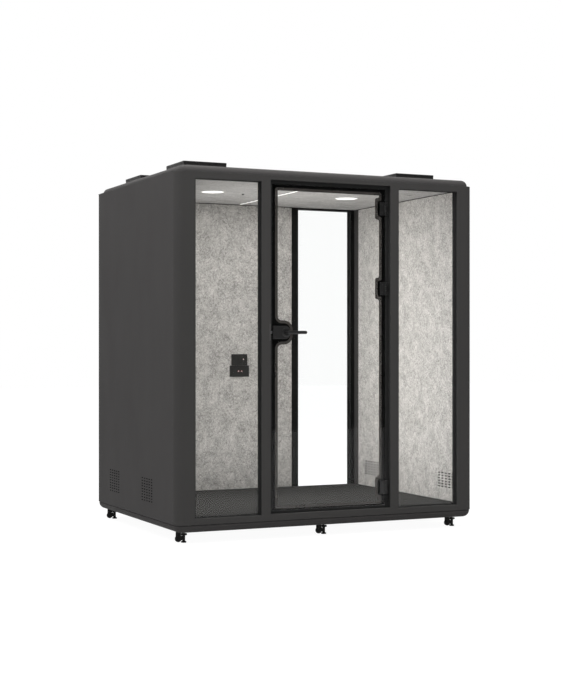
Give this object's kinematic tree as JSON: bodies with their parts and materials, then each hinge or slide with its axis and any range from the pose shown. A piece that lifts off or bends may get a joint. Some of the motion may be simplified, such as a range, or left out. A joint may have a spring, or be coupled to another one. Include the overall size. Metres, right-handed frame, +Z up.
{
  "type": "acoustic office pod",
  "caption": "Glazed acoustic meeting pod with felt-lined cabin, hinged glass door with lever lock, roof fan boxes and levelling casters",
  "frame": {"origin": "on the floor, at the middle of the footprint", "axes": "+X right seen from the front, +Y from the glazed front to the rear, +Z up"},
  "size_m": [2.05, 1.554, 2.3],
  "materials": {
    "anthracite_steel": "fine-textured powder coat",
    "anthracite_profile": "fine-textured powder coat",
    "jamb_profile": "satin black coat",
    "black_steel": "matt black coat",
    "satin_black": "satin black anodised",
    "grey_felt": "mottled needle felt",
    "carpet": "short loop pile",
    "clear_glass": "clear toughened glass",
    "lamp_lens": "opal diffuser",
    "black_plastic": "satin moulded",
    "caster_wheel": "nylon",
    "zinc_steel": "zinc plated"
  },
  "bodies": {
    "shell": {"base_tray": "anthracite_steel", "left_wall": "anthracite_steel", "right_wall": "anthracite_steel", "rear_center_panel": "anthracite_steel", "roof_shell": "anthracite_steel", "front_frame": "anthracite_profile", "rear_frame": "anthracite_profile", "left_wall_felt": "grey_felt", "right_wall_felt": "grey_felt", "rear_center_felt": "grey_felt", "ceiling_panel": "grey_felt", "floor_panel": "carpet", "front_left_glass": "clear_glass", "front_right_glass": "clear_glass", "rear_left_glass": "clear_glass", "rear_right_glass": "clear_glass", "door_jamb": "jamb_profile", "left_downlight": "lamp_lens", "right_downlight": "lamp_lens", "light_strip": "lamp_lens", "switch_panel": "black_plastic", "socket_panel": "black_plastic", "front_left_roof_box": "black_steel", "front_right_roof_box": "black_steel", "rear_left_roof_box": "black_steel", "rear_right_roof_box": "black_steel", "upper_frame_hinge": "satin_black", "middle_frame_hinge": "satin_black", "lower_frame_hinge": "satin_black"},
    "door": {"door_glass": "clear_glass", "lock_case": "satin_black", "upper_door_hinge": "satin_black", "middle_door_hinge": "satin_black", "lower_door_hinge": "satin_black"},
    "lever": {"outer_lever": "satin_black", "inner_lever": "satin_black"},
    "latch": {"latch_bolt": "zinc_steel"},
    "light_key": {"light_key": "black_plastic"},
    "front_left_fan": {"front_left_fan": "black_plastic"},
    "front_right_fan": {"front_right_fan": "black_plastic"},
    "rear_left_fan": {"rear_left_fan": "black_plastic"},
    "rear_right_fan": {"rear_right_fan": "black_plastic"},
    "front_left_swivel": {"front_left_caster_fork": "black_steel"},
    "front_left_wheel": {"front_left_caster_wheel": "caster_wheel"},
    "front_left_foot": {"front_left_levelling_foot": "black_steel"},
    "front_middle_swivel": {"front_middle_caster_fork": "black_steel"},
    "front_middle_wheel": {"front_middle_caster_wheel": "caster_wheel"},
    "front_middle_foot": {"front_middle_levelling_foot": "black_steel"},
    "front_right_swivel": {"front_right_caster_fork": "black_steel"},
    "front_right_wheel": {"front_right_caster_wheel": "caster_wheel"},
    "front_right_foot": {"front_right_levelling_foot": "black_steel"},
    "rear_left_swivel": {"rear_left_caster_fork": "black_steel"},
    "rear_left_wheel": {"rear_left_caster_wheel": "caster_wheel"},
    "rear_left_foot": {"rear_left_levelling_foot": "black_steel"},
    "rear_middle_swivel": {"rear_middle_caster_fork": "black_steel"},
    "rear_middle_wheel": {"rear_middle_caster_wheel": "caster_wheel"},
    "rear_middle_foot": {"rear_middle_levelling_foot": "black_steel"},
    "rear_right_swivel": {"rear_right_caster_fork": "black_steel"},
    "rear_right_wheel": {"rear_right_caster_wheel": "caster_wheel"},
    "rear_right_foot": {"rear_right_levelling_foot": "black_steel"}
  },
  "joints": [
    {"name": "door_swing", "type": "hinge", "parent": "shell", "child": "door", "pos_m": [0.393, -0.7323, 1.16], "axis": [0, 0, 1], "range_deg": [0, 100]},
    {"name": "lever_turn", "type": "hinge", "parent": "door", "child": "lever", "pos_m": [-0.3035, -0.726, 1.256], "axis": [0, 1, 0], "range_deg": [0, 45], "stiffness_Nm_per_rad": 1.2, "springref_deg": -34.38},
    {"name": "latch_slide", "type": "slide", "parent": "door", "child": "latch", "axis": [1, 0, 0], "range_m": [0, 0.01]},
    {"name": "light_key_press", "type": "slide", "parent": "shell", "child": "light_key", "axis": [0, 1, 0], "range_m": [0, 0.0015], "stiffness_N_per_m": 400, "springref_m": -0.002},
    {"name": "front_left_fan_spin", "type": "hinge", "parent": "shell", "child": "front_left_fan", "pos_m": [-0.74, -0.35, 2.262], "axis": [0, 0, 1], "continuous": true},
    {"name": "front_right_fan_spin", "type": "hinge", "parent": "shell", "child": "front_right_fan", "pos_m": [0.74, -0.35, 2.262], "axis": [0, 0, 1], "continuous": true},
    {"name": "rear_left_fan_spin", "type": "hinge", "parent": "shell", "child": "rear_left_fan", "pos_m": [-0.74, 0.438, 2.262], "axis": [0, 0, 1], "continuous": true},
    {"name": "rear_right_fan_spin", "type": "hinge", "parent": "shell", "child": "rear_right_fan", "pos_m": [0.74, 0.438, 2.262], "axis": [0, 0, 1], "continuous": true},
    {"name": "front_left_caster_swivel", "type": "hinge", "parent": "shell", "child": "front_left_swivel", "pos_m": [-0.935, -0.641, 0.066], "axis": [0, 0, 1], "continuous": true},
    {"name": "front_left_wheel_roll", "type": "hinge", "parent": "front_left_swivel", "child": "front_left_wheel", "pos_m": [-0.97, -0.641, 0.024], "axis": [0, 1, 0], "continuous": true},
    {"name": "front_left_foot_level", "type": "slide", "parent": "front_left_swivel", "child": "front_left_foot", "axis": [0, 0, 1], "range_m": [-0.003, 0.006]},
    {"name": "front_middle_caster_swivel", "type": "hinge", "parent": "shell", "child": "front_middle_swivel", "pos_m": [0, -0.641, 0.066], "axis": [0, 0, 1], "continuous": true},
    {"name": "front_middle_wheel_roll", "type": "hinge", "parent": "front_middle_swivel", "child": "front_middle_wheel", "pos_m": [-0.035, -0.641, 0.024], "axis": [0, 1, 0], "continuous": true},
    {"name": "front_middle_foot_level", "type": "slide", "parent": "front_middle_swivel", "child": "front_middle_foot", "axis": [0, 0, 1], "range_m": [-0.003, 0.006]},
    {"name": "front_right_caster_swivel", "type": "hinge", "parent": "shell", "child": "front_right_swivel", "pos_m": [0.935, -0.641, 0.066], "axis": [0, 0, 1], "continuous": true},
    {"name": "front_right_wheel_roll", "type": "hinge", "parent": "front_right_swivel", "child": "front_right_wheel", "pos_m": [0.9, -0.641, 0.024], "axis": [0, 1, 0], "continuous": true},
    {"name": "front_right_foot_level", "type": "slide", "parent": "front_right_swivel", "child": "front_right_foot", "axis": [0, 0, 1], "range_m": [-0.003, 0.006]},
    {"name": "rear_left_caster_swivel", "type": "hinge", "parent": "shell", "child": "rear_left_swivel", "pos_m": [-0.935, 0.665, 0.066], "axis": [0, 0, 1], "continuous": true},
    {"name": "rear_left_wheel_roll", "type": "hinge", "parent": "rear_left_swivel", "child": "rear_left_wheel", "pos_m": [-0.97, 0.665, 0.024], "axis": [0, 1, 0], "continuous": true},
    {"name": "rear_left_foot_level", "type": "slide", "parent": "rear_left_swivel", "child": "rear_left_foot", "axis": [0, 0, 1], "range_m": [-0.003, 0.006]},
    {"name": "rear_middle_caster_swivel", "type": "hinge", "parent": "shell", "child": "rear_middle_swivel", "pos_m": [0, 0.665, 0.066], "axis": [0, 0, 1], "continuous": true},
    {"name": "rear_middle_wheel_roll", "type": "hinge", "parent": "rear_middle_swivel", "child": "rear_middle_wheel", "pos_m": [-0.035, 0.665, 0.024], "axis": [0, 1, 0], "continuous": true},
    {"name": "rear_middle_foot_level", "type": "slide", "parent": "rear_middle_swivel", "child": "rear_middle_foot", "axis": [0, 0, 1], "range_m": [-0.003, 0.006]},
    {"name": "rear_right_caster_swivel", "type": "hinge", "parent": "shell", "child": "rear_right_swivel", "pos_m": [0.935, 0.665, 0.066], "axis": [0, 0, 1], "continuous": true},
    {"name": "rear_right_wheel_roll", "type": "hinge", "parent": "rear_right_swivel", "child": "rear_right_wheel", "pos_m": [0.9, 0.665, 0.024], "axis": [0, 1, 0], "continuous": true},
    {"name": "rear_right_foot_level", "type": "slide", "parent": "rear_right_swivel", "child": "rear_right_foot", "axis": [0, 0, 1], "range_m": [-0.003, 0.006]}
  ],
  "couplings": [
    {"joint": "latch_slide", "follows": "lever_turn", "m_per_rad": 0.0127}
  ]
}
